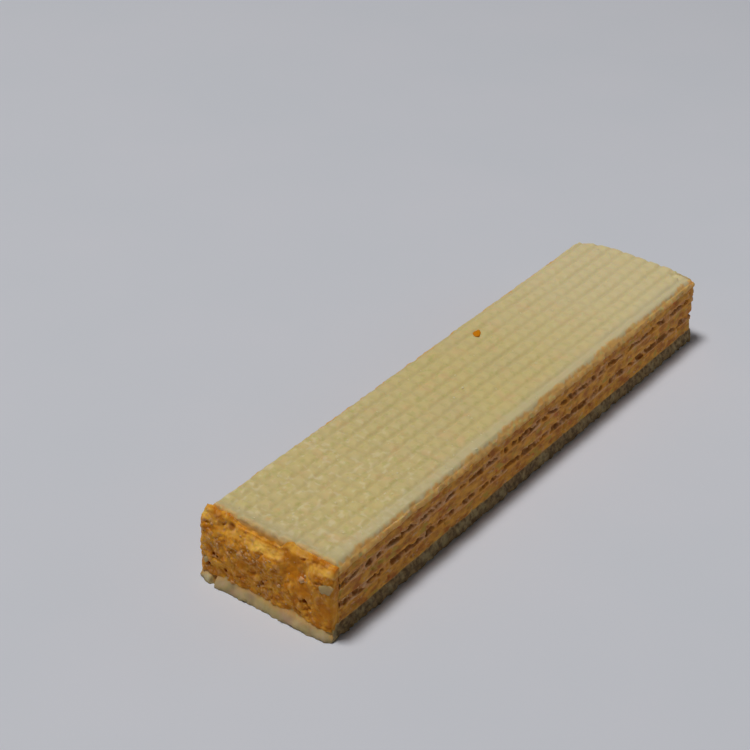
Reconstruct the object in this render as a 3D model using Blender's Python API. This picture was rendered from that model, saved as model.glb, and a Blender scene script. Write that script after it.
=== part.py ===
"""A cheese cream wafer biscuit, lying flat.

Four thin baked wafer sheets are stacked with three layers of cheese cream between them. A fifth
piece of cream, rough and crumbly, is smeared over the near end, and the bottom sheet reaches out
from under it like a doorstep.

Lengths are in metres. The origin is under the middle of the biscuit, on the surface that it lies on.
+X runs along the biscuit to its far end, -Y is the long side that faces the viewer, and +Z is up.
"""
import math

import bmesh
import bpy
from mathutils import Matrix, Vector, noise

MM = 0.001

# Driving dimensions
LENGTH = 78.0 * MM          # a sheet, from the near end to the far end
WIDTH = 18.1 * MM
SHEET = 1.15 * MM           # thickness of a baked wafer sheet whose ribs are sunk in cream
BOTTOM_SHEET = 1.8 * MM     # the lowest sheet is measured over its ribs, which stand free
CREAM_LOWER = 1.4 * MM      # the layers of cream, which were spread unevenly
CREAM_MIDDLE = 1.25 * MM
CREAM_UPPER = 0.75 * MM
SEAM = 0.15 * MM            # clearance between two layers, small because the layers are thin
STEP = 1.6 * MM             # how far the bottom sheet reaches past the others at the near end

# The pattern of the waffle iron: squares on the upper face, diamonds on the underside
PITCH = 1.91 * MM
GROOVE = 0.5 * MM           # width of a groove between two squares
GROOVE_DEPTH = 0.28 * MM
RIB = 0.56 * MM             # width of a flat rib between two diamonds
POCKET_DEPTH = 0.5 * MM
SMOOTH_RIM = 1.2 * PITCH    # plain strip along the long side that faces the viewer
CUT_CELL = 0.67 * PITCH     # part of a square that is left at the near end, where the saw passed

# Unevenness of the cut edges
FRAY = 0.22 * MM            # how deep a wafer edge crumbles
FRAY_GRAIN = 1.7 * MM       # size of its crumbs
NOTCH = 0.4 * MM            # depth of the open cells in the edge of an inner sheet
CREAM_FRAY = 0.3 * MM
CREAM_GRAIN = 4.0 * MM

# The cream over the near end
CRUST = 1.0 * MM            # thickness of the smear
CRUST_SHOULDER = 1.3 * MM   # height over which its top rounds off
CRUST_BELOW_TOP = 0.45 * MM # its top lies this much lower than the top sheet
CRUST_CELL = 0.85 * MM
CRAG = 0.42 * MM            # depth of its crags
CRAG_GRAIN = 1.5 * MM

# The layers from the lowest to the uppermost, with their thicknesses
STACK = [
    ("wafer_bottom", BOTTOM_SHEET),
    ("cream_lower", CREAM_LOWER),
    ("wafer_lower", SHEET),
    ("cream_middle", CREAM_MIDDLE),
    ("wafer_upper", SHEET),
    ("cream_upper", CREAM_UPPER),
    ("wafer_top", SHEET),
]

# Worked out from these
HEIGHT = sum(thickness + SEAM for name, thickness in STACK) - SEAM
FAR = (LENGTH + STEP) / 2
NEAR = FAR - LENGTH
SIDE = WIDTH / 2
ALONG = Vector((1, 0, 0))
ACROSS = Vector((0, 1, 0))

# Corners that have broken off a sheet: which corner, then how far along and across it broke
BROKEN_TOP = [
    ((1, -1), 0.9 * MM, 3.4 * MM),
    ((1, 1), 2.2 * MM, 5.2 * MM),
]
BROKEN_BOTTOM = [
    ((-1, 1), 1.2 * MM, 2.6 * MM),
    ((1, 1), 0.7 * MM, 1.1 * MM),
]
WORN_LOWER = [
    ((1, -1), 0.5 * MM, 0.9 * MM),
    ((1, 1), 1.1 * MM, 1.9 * MM),
]
WORN_UPPER = [
    ((1, 1), 1.5 * MM, 2.8 * MM),
    ((1, -1), 0.6 * MM, 0.6 * MM),
]

# Colours are linear RGB
WAFER = (0.52, 0.42, 0.21, 1.0)
WAFER_CUT = (0.33, 0.20, 0.12, 1.0)
CHEESE = (0.60, 0.25, 0.03, 1.0)
CHEESE_CRUST = (0.66, 0.29, 0.04, 1.0)


def clear_scene():
    for old in list(bpy.data.objects):
        bpy.data.objects.remove(old, do_unlink=True)


def new_material(name, colour, roughness):
    material = bpy.data.materials.new(name)
    material.use_nodes = True
    shader = material.node_tree.nodes["Principled BSDF"]
    shader.inputs["Base Color"].default_value = colour
    shader.inputs["Roughness"].default_value = roughness
    shader.inputs["Metallic"].default_value = 0.0
    material.diffuse_color = colour
    return material


def finish_part(name, bm, base, material, parts):
    """Turn a built-up mesh into the named part, with its underside at height base."""
    bmesh.ops.recalc_face_normals(bm, faces=bm.faces[:])
    mesh = bpy.data.meshes.new(name)
    bm.to_mesh(mesh)
    bm.free()
    mesh.materials.append(material)
    part = bpy.data.objects.new(name, mesh)
    part.location.z = base
    parts.objects.link(part)
    return part


def trim(bm, point, outward):
    """Cut away everything beyond the upright plane through point."""
    everything = bm.verts[:] + bm.edges[:] + bm.faces[:]
    bmesh.ops.bisect_plane(
        bm, geom=everything, dist=0.001 * MM, plane_co=point, plane_no=outward, clear_outer=True)


def flat_blank(near, cell, angle, crossing, broken):
    """A flat sheet of square cells, cut to the biscuit's outline, with its corners broken off.

    crossing is a point where lines of the grid cross, and angle turns the grid about it.
    """
    bm = bmesh.new()
    half_count = math.ceil(1.1 * LENGTH / cell)
    place = Matrix.Translation(crossing) @ Matrix.Rotation(angle, 4, "Z")
    bmesh.ops.create_grid(
        bm, x_segments=2 * half_count, y_segments=2 * half_count, size=half_count * cell, matrix=place)
    trim(bm, near * ALONG, -ALONG)
    trim(bm, FAR * ALONG, ALONG)
    trim(bm, -SIDE * ACROSS, -ACROSS)
    trim(bm, SIDE * ACROSS, ACROSS)
    for (end, side), reach_along, reach_across in broken:
        corner = Vector((FAR if end > 0 else near, side * SIDE, 0))
        outward = Vector((end / reach_along, side / reach_across, 0)).normalized()
        trim(bm, corner - end * reach_along * ALONG, outward)
    return bm


def divide_rim(bm, step):
    """Give the outline a point about every step."""
    for edge in [e for e in bm.edges if e.is_boundary]:
        cuts = round(edge.calc_length() / step) - 1
        if cuts > 0:
            bmesh.ops.bisect_edges(bm, edges=[edge], cuts=cuts)


def inward_directions(bm):
    """For each point of the outline, the direction that leads into the sheet."""
    inward = {}
    for edge in bm.edges:
        if edge.is_boundary:
            loop = edge.link_loops[0]
            run = loop.link_loop_next.vert.co - loop.vert.co
            across = Vector((-run.y, run.x, 0)).normalized()
            for vert in edge.verts:
                inward[vert] = inward.get(vert, Vector()) + across
    return {vert: direction.normalized() for vert, direction in inward.items()}


def fray_rim(bm, depth, grain, seed, notch=0.0):
    """Crumble the outline inwards, and open the cells of the waffle along it by notch."""
    for vert, direction in inward_directions(bm).items():
        crumb = 0.5 + 0.5 * noise.noise(Vector((vert.co.x, vert.co.y, 0)) / grain + Vector((0, 0, seed)))
        along_rim = vert.co.x if abs(direction.y) > abs(direction.x) else vert.co.y
        cell = 0.5 + 0.5 * math.cos(math.tau * along_rim / PITCH)
        vert.co += direction * (depth * crumb + notch * cell)


def thicken(bm, thickness):
    """Raise a copy of the flat sheet by thickness and close the sides. Returns the upper faces."""
    raised = bmesh.ops.extrude_face_region(bm, geom=bm.faces[:], use_keep_orig=True)["geom"]
    bmesh.ops.translate(
        bm, vec=Vector((0, 0, thickness)), verts=[g for g in raised if isinstance(g, bmesh.types.BMVert)])
    return [g for g in raised if isinstance(g, bmesh.types.BMFace)]


def whole_cells(faces):
    """The faces that are uncut squares of the grid."""
    return [f for f in faces if len(f.verts) == 4 and f.calc_area() > 0.97 * PITCH ** 2]


def press_squares(bm, faces):
    """Press grooves between the squares of the upper face, apart from its plain strip."""
    squares = [f for f in whole_cells(faces) if f.calc_center_median().y > -SIDE + SMOOTH_RIM]
    grid_points = {vert for face in squares for vert in face.verts}
    bmesh.ops.inset_individual(bm, faces=squares, thickness=GROOVE / 2, depth=0.0)
    for vert in grid_points:
        vert.co.z -= GROOVE_DEPTH


def press_diamonds(bm, faces):
    """Press a pocket into every diamond of the underside, between flat ribs."""
    diamonds = whole_cells(faces)
    bmesh.ops.inset_individual(bm, faces=diamonds, thickness=RIB / 2, depth=0.0)
    poked = bmesh.ops.poke(bm, faces=diamonds, center_mode="MEAN")
    for vert in poked["verts"]:
        vert.co.z += POCKET_DEPTH


def top_sheet(base, material, parts):
    """The uppermost wafer, whose upper face shows the squares of the iron."""
    first_crossing = Vector((NEAR + CUT_CELL + 20 * PITCH, -SIDE + SMOOTH_RIM, 0))
    bm = flat_blank(NEAR, PITCH, 0.0, first_crossing, BROKEN_TOP)
    fray_rim(bm, FRAY, FRAY_GRAIN, seed=1.0)
    upper = thicken(bm, SHEET)
    lower = [f for f in bm.faces if f.calc_center_median().z < 0.01 * SHEET]
    bmesh.ops.dissolve_faces(bm, faces=lower)
    press_squares(bm, upper)
    return finish_part("wafer_top", bm, base, material, parts)


def bottom_sheet(base, material, parts):
    """The lowest wafer. It lies on the flat ribs between the diamonds of its underside."""
    bm = flat_blank(NEAR - STEP, PITCH, math.radians(45), Vector(), BROKEN_BOTTOM)
    fray_rim(bm, FRAY, FRAY_GRAIN, seed=2.0)
    upper = thicken(bm, BOTTOM_SHEET)
    lower = [f for f in bm.faces if f.calc_center_median().z < 0.01 * BOTTOM_SHEET]
    bmesh.ops.dissolve_faces(bm, faces=upper)
    press_diamonds(bm, lower)
    return finish_part("wafer_bottom", bm, base, material, parts)


def inner_sheet(name, base, seed, broken, material, parts):
    """A wafer inside the stack. Only its cut edge shows, with the open cells of the waffle."""
    bm = flat_blank(NEAR, 2 * LENGTH, 0.0, Vector((LENGTH, LENGTH, 0)), broken)
    divide_rim(bm, PITCH / 2)
    fray_rim(bm, FRAY, FRAY_GRAIN, seed, notch=NOTCH)
    thicken(bm, SHEET)
    return finish_part(name, bm, base, material, parts)


def cream_layer(name, base, thickness, seed, broken, material, parts):
    """A layer of cream, spread right through the biscuit and uneven along its edge."""
    bm = flat_blank(NEAR, 2 * LENGTH, 0.0, Vector((LENGTH, LENGTH, 0)), broken)
    divide_rim(bm, PITCH)
    fray_rim(bm, CREAM_FRAY, CREAM_GRAIN, seed)
    thicken(bm, thickness)
    return finish_part(name, bm, base, material, parts)


def crust_bulge(height, full_height):
    """How far the crust stands out at a height, as a share of its thickness: round at the top."""
    below_top = min(max(full_height - height, 0.0), CRUST_SHOULDER)
    return 0.3 + 0.7 * math.sqrt(1 - (1 - below_top / CRUST_SHOULDER) ** 2)


def end_crust(base, top, material, parts):
    """The cream smeared over the near end, from the bottom sheet up to just under the top one."""
    full_height = top - base
    rows = round(full_height / CRUST_CELL)
    columns = round(WIDTH / CRUST_CELL)
    bm = bmesh.new()
    upright = Matrix.Rotation(math.radians(-90), 4, "Y")
    bmesh.ops.create_grid(bm, x_segments=rows, y_segments=columns, size=0.5, matrix=upright)
    back = NEAR - SEAM
    for vert in bm.verts:
        vert.co = Vector((back, vert.co.y * (WIDTH - 2 * FRAY), (vert.co.z + 0.5) * full_height))
    front = bmesh.ops.extrude_face_region(bm, geom=bm.faces[:], use_keep_orig=True)["geom"]
    for vert in [g for g in front if isinstance(g, bmesh.types.BMVert)]:
        crag = 0.5 + 0.5 * noise.fractal(vert.co / CRAG_GRAIN, 0.8, 2.0, 3)
        vert.co.x -= CRUST * crust_bulge(vert.co.z, full_height) - CRAG * min(max(crag, 0.0), 1.0) / 2
    behind = [f for f in bm.faces if abs(f.calc_center_median().x - back) < 0.001 * MM]
    bmesh.ops.dissolve_faces(bm, faces=behind)
    return finish_part("cream_end", bm, base, material, parts)


def build():
    clear_scene()
    parts = bpy.data.collections.new("cheese_wafer_biscuit")
    bpy.context.scene.collection.children.link(parts)

    base = {}
    height = 0.0
    for name, thickness in STACK:
        base[name] = height
        height += thickness + SEAM

    bottom_sheet(base["wafer_bottom"], new_material("wafer_bottom", WAFER, 0.8), parts)
    top_sheet(base["wafer_top"], new_material("wafer_top", WAFER, 0.8), parts)
    for name, worn, seed in [("wafer_lower", WORN_LOWER, 3.0), ("wafer_upper", WORN_UPPER, 4.0)]:
        inner_sheet(name, base[name], seed, worn, new_material(name, WAFER_CUT, 0.9), parts)
    for name, thickness, worn, seed in [
        ("cream_lower", CREAM_LOWER, WORN_LOWER, 5.0),
        ("cream_middle", CREAM_MIDDLE, WORN_LOWER, 6.0),
        ("cream_upper", CREAM_UPPER, WORN_UPPER, 7.0),
    ]:
        cream_layer(name, base[name], thickness, seed, worn, new_material(name, CHEESE, 0.55), parts)

    crust_top = HEIGHT - CRUST_BELOW_TOP
    end_crust(base["cream_lower"], crust_top, new_material("cream_end", CHEESE_CRUST, 0.5), parts)


build()
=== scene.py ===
# %% [markdown]
# # A cheese cream wafer
#
# Wafer sheets are baked between two patterned iron plates, spread with cheese cream, stacked, and
# sawn into fingers. Four sheets and three layers of cream make this one. The saw opens the foam of
# the sheets and drags some cream over their edges, and the near end was torn and smeared over.
#
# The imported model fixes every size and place. This script gives each of its layers a fine surface:
# it divides a box into a dense net, moves the net's points by rules, and paints by the same rules.

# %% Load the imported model
import itertools
import math

import bmesh
import bpy
import numpy as np
from mathutils import Matrix, Vector


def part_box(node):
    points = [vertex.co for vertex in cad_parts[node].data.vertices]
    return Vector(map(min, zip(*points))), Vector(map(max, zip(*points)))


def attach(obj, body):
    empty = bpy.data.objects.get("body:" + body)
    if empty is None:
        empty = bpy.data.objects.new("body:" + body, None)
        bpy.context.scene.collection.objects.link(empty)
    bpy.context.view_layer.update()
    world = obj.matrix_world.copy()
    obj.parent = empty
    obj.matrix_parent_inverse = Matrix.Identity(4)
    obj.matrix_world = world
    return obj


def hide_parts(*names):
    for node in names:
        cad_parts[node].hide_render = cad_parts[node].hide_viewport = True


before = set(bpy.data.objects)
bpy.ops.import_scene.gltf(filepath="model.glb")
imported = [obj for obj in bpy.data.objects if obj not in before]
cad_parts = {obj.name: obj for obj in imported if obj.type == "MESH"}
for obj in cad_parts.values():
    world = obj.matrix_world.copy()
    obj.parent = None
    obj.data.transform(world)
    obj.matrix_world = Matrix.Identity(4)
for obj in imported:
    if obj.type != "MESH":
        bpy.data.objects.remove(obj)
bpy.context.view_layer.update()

# %% [markdown]
# ## Sizes
#
# Everything below is worked in millimetres, because the waffle pattern and the cream are millimetre
# things. The layers' boxes come from the model. The pattern of the wafer iron repeats all over the
# biscuit, so its pitch is named once, and the rim, the cut square and the pockets are shares of it.

# %% Sizes in millimetres
MM = 0.001
PITCH = 1.91  # from one waffle square to the next
SMOOTH_RIM = 1.2 * PITCH  # plain strip along the long side that faces the viewer
CUT_CELL = 0.67 * PITCH  # part of a square that is left at the near end
SAW_SLANT = 0.0105  # the saw ran at a small angle to the rows of squares


def box_mm(node):
    """The lowest and the highest corner of one layer of the model, in millimetres."""
    low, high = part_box(node)
    return np.array(low) / MM, np.array(high) / MM


for name in sorted(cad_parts):
    low, high = box_mm(name)
    print(f"{name:13s} from {low.round(2)} to {high.round(2)}")

sheet_low, sheet_high = box_mm("wafer_top")
NEAR, FAR = sheet_low[0], sheet_high[0]
SIDE = sheet_high[1]
TOP = sheet_high[2]

# %% [markdown]
# ## Uneven numbers
#
# Baked and torn food has no two places alike. Three kinds of unevenness do nearly all the work here:
# smooth bumps, bumps upon bumps, and packed grains. Blender's noise module could give them point by
# point, but the nets have hundreds of thousands of points, so they are worked out for all points at
# once from a hash of whole numbers. A hash gives the same numbers in every run.

# %% Bumps, roughness and grains
def hashed(cell, seed):
    """A number from 0 to 1 for each row of whole numbers."""
    x, y, z = cell.astype(np.int64).astype(np.uint32).T
    mixed = x * np.uint32(374761393) + y * np.uint32(668265263) + z * np.uint32(2246822519)
    mixed = mixed + np.uint32(3266489917 * (seed + 1) % 2**32)
    mixed = (mixed ^ (mixed >> np.uint32(15))) * np.uint32(2654435761)
    mixed = (mixed ^ (mixed >> np.uint32(13))) * np.uint32(1274126177)
    mixed = mixed ^ (mixed >> np.uint32(16))
    return mixed.astype(float) / 2**32


def ease(value, start, end):
    """0 before start, 1 after end, and a smooth rise between them."""
    share = np.clip((value - start) / (end - start), 0.0, 1.0)
    return share * share * (3 - 2 * share)


def fades(value, start, end):
    """1 before start, 0 after end, and a smooth fall between them."""
    return 1 - ease(value, start, end)


def bumps(points, size, seed):
    """Smooth bumps about size across: a number from -1 to 1 for each point."""
    scaled = points / size
    cell = np.floor(scaled)
    share = ease(scaled - cell, 0.0, 1.0)
    total = np.zeros(len(points))
    for corner in itertools.product((0, 1), repeat=3):
        weight = np.prod(np.where(corner, share, 1 - share), axis=1)
        total += weight * hashed(cell + corner, seed)
    return 2 * total - 1


def rough(points, size, seed, octaves=3):
    """Bumps upon bumps, each time half as wide and half as high."""
    total = sum(0.5**k * bumps(points, size * 0.5**k, seed + 17 * k) for k in range(octaves))
    return total / (2 - 0.5 ** (octaves - 1))


def grains(points, size, seed):
    """Packed grains about size apart: the share of size to the nearest grain's middle, and the
    number from 0 to 1 that belongs to that grain."""
    scaled = points / size
    home = np.floor(scaled)
    nearest = np.full(len(points), 9.0)
    owner = np.zeros(len(points))
    for step in itertools.product((-1, 0, 1), repeat=3):
        cell = home + step
        middle = cell + np.stack([hashed(cell, seed + axis) for axis in range(3)], axis=1)
        distance = np.linalg.norm(middle - scaled, axis=1)
        closer = distance < nearest
        nearest = np.where(closer, distance, nearest)
        owner = np.where(closer, hashed(cell, seed + 3), owner)
    return nearest, owner


probe = bumps(np.random.default_rng(1).uniform(-40, 40, (20000, 3)), 2.0, 0)
print("bumps run from %.2f to %.2f" % (probe.min(), probe.max()))

# %% [markdown]
# ## Nets
#
# Each layer is a closed box, so it starts as Blender's cube, with the edges of each direction
# subdivided. A side that no one can see, such as the face that lies on the next layer, is left as one
# polygon: that halves the points. The points are then moved with numpy, all at once.

# %% A divided box
X, Y, Z = 0, 1, 2


def in_scene(name, data):
    """An object with that mesh, lamp or camera, put in the scene."""
    thing = bpy.data.objects.new(name, data)
    bpy.context.scene.collection.objects.link(thing)
    return thing


def unit_net(name, cells, hidden=()):
    """A closed unit box whose sides are divided into cells, and the places of its points.

    hidden lists the directions of the sides that stay one polygon.
    """
    bm = bmesh.new()
    bmesh.ops.create_cube(bm, size=1.0, matrix=Matrix.Translation((0.5, 0.5, 0.5)))
    bm.normal_update()
    covered = [f for f in bm.faces if any(f.normal.dot(Vector(side)) > 0.5 for side in hidden)]
    bmesh.ops.delete(bm, geom=covered, context="FACES_ONLY")
    for axis, count in enumerate(cells):
        run = [e for e in bm.edges if abs((e.verts[1].co - e.verts[0].co)[axis]) > 0.5]
        bmesh.ops.subdivide_edges(bm, edges=run, cuts=count - 1, use_grid_fill=True)
    bmesh.ops.holes_fill(bm, edges=[e for e in bm.edges if e.is_boundary], sides=0)
    bmesh.ops.recalc_face_normals(bm, faces=bm.faces[:])
    for face in bm.faces:
        face.smooth = len(face.verts) == 4
    mesh = bpy.data.meshes.new(name)
    bm.to_mesh(mesh)
    bm.free()
    piece = in_scene(name, mesh)
    unit = np.empty(3 * len(mesh.vertices))
    mesh.vertices.foreach_get("co", unit)
    return piece, unit.reshape(-1, 3)


def settle(piece, points, marks, material, node):
    """Moves the net to its place in millimetres, stores what was marked on it, and joins the model."""
    piece.data.vertices.foreach_set("co", (points * MM).astype(np.float32).ravel())
    for mark, values in marks.items():
        layer = piece.data.attributes.new(mark, "FLOAT", "POINT")
        layer.data.foreach_set("value", np.clip(values, 0, 1).astype(np.float32))
    piece.data.update()
    piece.data.materials.append(material)
    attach(piece, "root")
    if node:
        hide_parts(node)
    piece.data.calc_loop_triangles()
    print(f"{piece.name}: {len(piece.data.loop_triangles)} triangles")
    return piece


# %% [markdown]
# ## Edges
#
# A sheet of wafer is never a clean rectangle. Its top edge is a little rounded, its corners break
# off, and its sawn sides are drawn in here and pushed out there. Each of these moves only the points
# near the edge, and the move fades out further in, so that the net never folds over itself.

# %% Round, break and draw in
ENDS_AND_SIDES = [(X, -1), (X, 1), (Y, -1), (Y, 1)]
SAW_WANDER = 0.1  # how far the blade strayed
EDGE_WEAR = 0.22  # how far the upright edges wore off


def from_wall(points, low, high, axis, direction):
    """How far in each point is from one wall of the box."""
    return direction * ((high if direction > 0 else low)[axis] - points[:, axis])


def round_top(points, low, high, arcs):
    """Bends the square top edges of the box into arcs. Each arc: its wall, and how far it reaches
    inward and downward. Where two of them meet at a corner the deeper one counts."""
    rounded = points.copy()
    deepest = np.zeros(len(points))
    for (axis, direction), (inward, downward) in arcs:
        across = np.clip(1 - from_wall(points, low, high, axis, direction) / inward, 0, 1)
        up = np.clip(1 - (high[Z] - points[:, Z]) / downward, 0, 1)
        shrink = 1 - np.maximum(across, up) / np.maximum(np.hypot(across, up), 1e-9)
        rounded[:, axis] -= direction * across * shrink * inward
        deepest = np.maximum(deepest, up * shrink * downward)
    rounded[:, Z] -= deepest
    return rounded


def break_corners(points, low, high, broken, fade=5.0):
    """Takes off corners: (end, side, reach along, reach across) for each."""
    moved = points.copy()
    for end, side, along, across in broken:
        inside = from_wall(points, low, high, X, end)
        from_side = from_wall(points, low, high, Y, side)
        ragged = 1 + 0.25 * bumps(points * [0, 1, 0], 0.9, 31)
        cut = along * ragged * np.clip(1 - from_side / across, 0, 1)
        moved[:, X] -= end * cut * np.clip(1 - inside / fade, 0, 1)
    return moved


def draw_in(points, low, high, depth, fade=1.2):
    """Draws each wall in by depth(points, run), where run is the place along that wall."""
    moved = points.copy()
    for axis, direction in ENDS_AND_SIDES:
        inside = from_wall(points, low, high, axis, direction)
        run = points.copy()
        run[:, axis] = 50.0 * direction
        moved[:, axis] -= direction * depth(run, 1 - axis) * np.clip(1 - inside / fade, 0, 1)
    return moved


def saw_path(run):
    """How the saw wandered, and how the upright edges wore off: all layers share this."""
    to_edge = np.minimum(np.abs(FAR - run[:, X]), np.abs(SIDE - np.abs(run[:, Y])))
    return SAW_WANDER * rough(run * [1, 1, 0.35], 1.8, 90) + EDGE_WEAR * fades(to_edge, 0.0, 0.7)


# %% [markdown]
# ## Colours and nodes
#
# Colours are written as the hex values that a colour picker shows on the photo's kind of screen, and
# one function turns them into the linear numbers that Blender mixes. One more function adds a node,
# sets it and links it, so that a material reads as a list of what feeds what.

# %% Helpers for materials
MIX_A, MIX_B, MIX_OUT = 6, 7, 2  # a Mix node's own sockets for colours


def paint(hex_colour):
    """A hex colour in sRGB as linear red, green, blue and alpha."""
    values = [int(hex_colour[i:i + 2], 16) / 255 for i in (1, 3, 5)]
    return [v / 12.92 if v <= 0.04045 else ((v + 0.055) / 1.055) ** 2.4 for v in values] + [1.0]


def add(tree, kind, sockets=None, **settings):
    """Adds a node. Each socket gets a value, or a link where the value is another node's output."""
    node = tree.nodes.new(kind)
    for name, value in settings.items():
        setattr(node, name, value)
    for socket, value in (sockets or {}).items():
        if isinstance(value, bpy.types.NodeSocket):
            tree.links.new(value, node.inputs[socket])
        else:
            node.inputs[socket].default_value = value
    return node


def new_material(name, roughness, ior, gloss, subsurface, marks=()):
    """A material, its nodes, its shader, the place on the object, and the marks that it reads. gloss is
    the share of the usual reflection that a powdery surface leaves, and subsurface is how far light
    spreads in it, in millimetres."""
    material = bpy.data.materials.new(name)
    material.use_nodes = True
    tree = material.node_tree
    shader = tree.nodes["Principled BSDF"]
    for socket, value in {
            "Metallic": 0.0, "Roughness": roughness, "IOR": ior, "Specular IOR Level": gloss / 2,
            "Subsurface Weight": 0.35, "Subsurface Radius": (1.0, 0.6, 0.25),
            "Subsurface Scale": subsurface * MM}.items():
        shader.inputs[socket].default_value = value
    where = add(tree, "ShaderNodeTexCoord").outputs["Object"]
    masks = [add(tree, "ShaderNodeAttribute", attribute_name=mark).outputs["Fac"] for mark in marks]
    return material, tree, shader, where, masks


def spots(tree, where, size, low, high, detail=2.0):
    """A mask from 0 to 1: noise of that size in millimetres, cut between low and high."""
    noise = add(tree, "ShaderNodeTexNoise", {
        "Vector": where, "Scale": 1 / (size * MM), "Detail": detail, "Roughness": 0.55})
    return add(tree, "ShaderNodeMapRange", {
        "Value": noise.outputs["Fac"], "From Min": low, "From Max": high}).outputs["Result"]


def surface(tree, shader, tint, where, size, strength, depth):
    """Gives the shader its colour and a fine grain of pores of that size and depth, in millimetres."""
    tree.links.new(tint, shader.inputs["Base Color"])
    noise = add(tree, "ShaderNodeTexNoise", {"Vector": where, "Scale": 1 / (size * MM), "Detail": 3.0})
    relief = add(tree, "ShaderNodeBump", {
        "Height": noise.outputs["Fac"], "Strength": strength, "Distance": depth * MM})
    tree.links.new(relief.outputs["Normal"], shader.inputs["Normal"])


# %% [markdown]
# ## Baked wafer
#
# A wafer sheet is baked starch foam with a tight, dry skin, matte and pale straw in colour. Light
# soaks a fraction of a millimetre into it, which softens the pressed squares. Along the sawn edges
# orange cream stains it: the net carries that as a mark called smear, and the material reads it. Each
# material is a first colour and a list of others, each laid over those before it where its mask is 1.

# %% The wafer's skin
STRAW = "#decb8b"


def baked_wafer():
    """Starch wafer, pressed in an iron: a matte straw skin, stained orange, with painted shade."""
    material, tree, shader, where, (mealy, pale, painted_shade, worn, smear, soaked) = new_material(
        "baked_wafer_pressed_in_iron", 0.6, 1.45, 0.7, 0.5,
        marks=("mealy", "pale", "painted_shade", "worn", "smear", "soaked"))
    # the colour of painted shade, for grooves, hollows, cracks and shaded sides
    shade_colour = add(tree, "ShaderNodeMix", {
        "Factor": spots(tree, where, 0.6, 0.42, 0.6, 4.0), MIX_A: paint("#6f5630"), MIX_B: paint("#a08452")},
        data_type="RGBA").outputs[MIX_OUT]
    rubbed = add(tree, "ShaderNodeMix", {
        "Factor": spots(tree, where, 1.6, 0.4, 0.62, 3.0), MIX_A: paint("#aa9869"), MIX_B: paint("#b99a78")},
        data_type="RGBA").outputs[MIX_OUT]
    stain = paint("#e9b45e")
    for mask, hex_colour in (
            (spots(tree, where, 0.9, 0.4, 0.65, 4.0), "#e2a34e"),
            (spots(tree, where, 0.7, 0.55, 0.68, 3.0), "#dec474"),
            (spots(tree, where, 0.5, 0.6, 0.7, 3.0), "#f0c090")):
        stain = add(tree, "ShaderNodeMix", {"Factor": mask, MIX_A: stain, MIX_B: paint(hex_colour)},
                    data_type="RGBA").outputs[MIX_OUT]
    tint = paint(STRAW)
    for mask, colour in (
            (spots(tree, where, 7.0, 0.35, 0.65), paint("#dbc88f")),
            (spots(tree, where, 2.2, 0.52, 0.75), paint("#e3c58c")),  # warmer patches
            (spots(tree, where, 0.9, 0.54, 0.72, 4.0), paint("#d0c47e")),  # greener patches
            # floury, and on the top also a painted gradient of light towards the far end
            (mealy, paint("#ecdcae")),
            (pale, paint("#d5c9a4")),
            # painted shade
            (painted_shade, shade_colour),
            (worn, rubbed),
            (smear, stain),
            (soaked, paint("#dd962e"))):
        tint = add(tree, "ShaderNodeMix", {"Factor": mask, MIX_A: tint, MIX_B: colour},
                   data_type="RGBA").outputs[MIX_OUT]
    surface(tree, shader, tint, where, 0.25, 0.25, 0.03)
    return material


wafer = baked_wafer()
print("wafer straw, linear:", [round(v, 3) for v in paint(STRAW)])

# %% [markdown]
# ## The top sheet
#
# The upper plate of the iron presses slightly raised, rounded squares: the grooves along the finger
# are a little deeper than those across it. Modelling one square and repeating it would look stamped.
# Instead each point asks how far the nearest groove is, and the answer is softened and varied.

# %% Waffle squares
GROOVE_ALONG = 0.17  # depth of a groove that runs along the finger
GROOVE_ACROSS = 0.12
HALF_ALONG = 0.55  # half of a groove's width
HALF_ACROSS = 0.9
DOME = 0.05  # how far a square swells
NET = 0.16  # cell of the nets that show the waffle pattern


def from_groove(value, first):
    """Distance to the nearest line of a row of lines that are one pitch apart."""
    share = (value - first) / PITCH
    return np.abs(share - np.round(share)) * PITCH


def waffle_squares(x, y):
    """Height of the pressed pattern at each place, in millimetres, at most about zero."""
    spot = np.stack([x, y, np.zeros_like(x)], axis=1)
    wander = 0.09 * bumps(spot, 2.2, 41)
    slanted = y + SAW_SLANT * (x - NEAR) + wander
    first_row = -SIDE + SMOOTH_RIM
    to_along = from_groove(slanted, first_row)
    to_across = from_groove(x + wander + 0.07 * bumps(spot, 0.9, 44), NEAR + CUT_CELL)
    on_pattern = ease(slanted, first_row - HALF_ALONG, first_row)
    depth_along = GROOVE_ALONG * (1 + 0.35 * bumps(spot, 4.0, 42))
    shallower = 1.5 - 0.45 * ease(x, -34, -25) - 0.4 * ease(x, -20, 10)
    depth_across = GROOVE_ACROSS * np.clip(0.85 + 0.4 * bumps(spot, 2.0, 43), 0, 2)
    depth_across = depth_across * (0.6 + 0.4 * on_pattern) * shallower
    groove = np.maximum(
        depth_along * fades(to_along, 0.0, HALF_ALONG) * on_pattern,
        depth_across * fades(to_across, 0.0, HALF_ACROSS))
    middle = np.minimum(to_along, to_across) / (PITCH / 2)
    return DOME * ease(middle, 0.1, 0.9) * on_pattern - groove


def net_cells(low, high, cell_along, cell_up):
    """How many cells of those sizes a box needs each way."""
    size = high - low
    return [round(size[X] / cell_along), round(size[Y] / cell_along), max(round(size[Z] / cell_up), 2)]


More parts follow.
